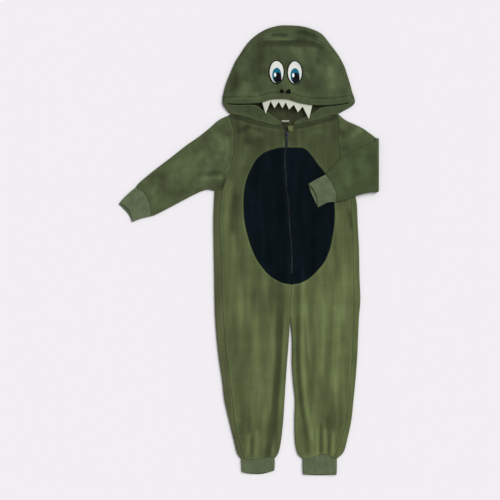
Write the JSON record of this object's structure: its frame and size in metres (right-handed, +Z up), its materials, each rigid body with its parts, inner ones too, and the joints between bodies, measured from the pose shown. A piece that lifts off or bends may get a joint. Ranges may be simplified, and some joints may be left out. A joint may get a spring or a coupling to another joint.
{
  "type": "child's hooded animal jumpsuit",
  "caption": "Long-sleeved hooded fleece jumpsuit for a young child, zipped up the front and laid flat on its back with one sleeve folded over.",
  "frame": {"origin": "centre of the laid garment's footprint, on the surface that it lies on", "axes": "+Y from the feet to the hood, +X towards the wearer's left, +Z up out of the garment's front"},
  "size_m": [0.6108, 1.058, 0.0282],
  "materials": {
    "fleece": "velour fleece with a short nap",
    "belly": "velour fleece with a short nap",
    "rib": "ribbed knit",
    "felt": "matt felt",
    "patch": "satin embroidery",
    "zip": "woven tape with nylon coil",
    "zip_metal": "satin paint",
    "label": "woven tape"
  },
  "bodies": {
    "garment": {"front_right": "fleece", "front_left": "fleece", "belly_right": "belly", "belly_left": "belly", "back_right": "fleece", "back_left": "fleece", "sleeve_right": "fleece", "sleeve_left": "fleece", "wrist_cuff_right": "rib", "wrist_cuff_left": "rib", "ankle_cuff_right": "rib", "ankle_cuff_left": "rib", "hood_face": "fleece", "hood_back": "fleece", "teeth_strip": "felt", "eye_right": "patch", "eye_left": "patch", "zip_right": "zip", "zip_left": "zip", "zip_slider": "zip_metal", "zip_guard": "fleece", "neck_label": "label"},
    "pull_tab": {"zip_pull": "zip_metal"}
  },
  "joints": [
    {"name": "pull_swing", "type": "hinge", "parent": "garment", "child": "pull_tab", "pos_m": [0.08848, 0.27289, 0.0096], "axis": [-1, 0, 0], "range_deg": [0, 170]}
  ]
}
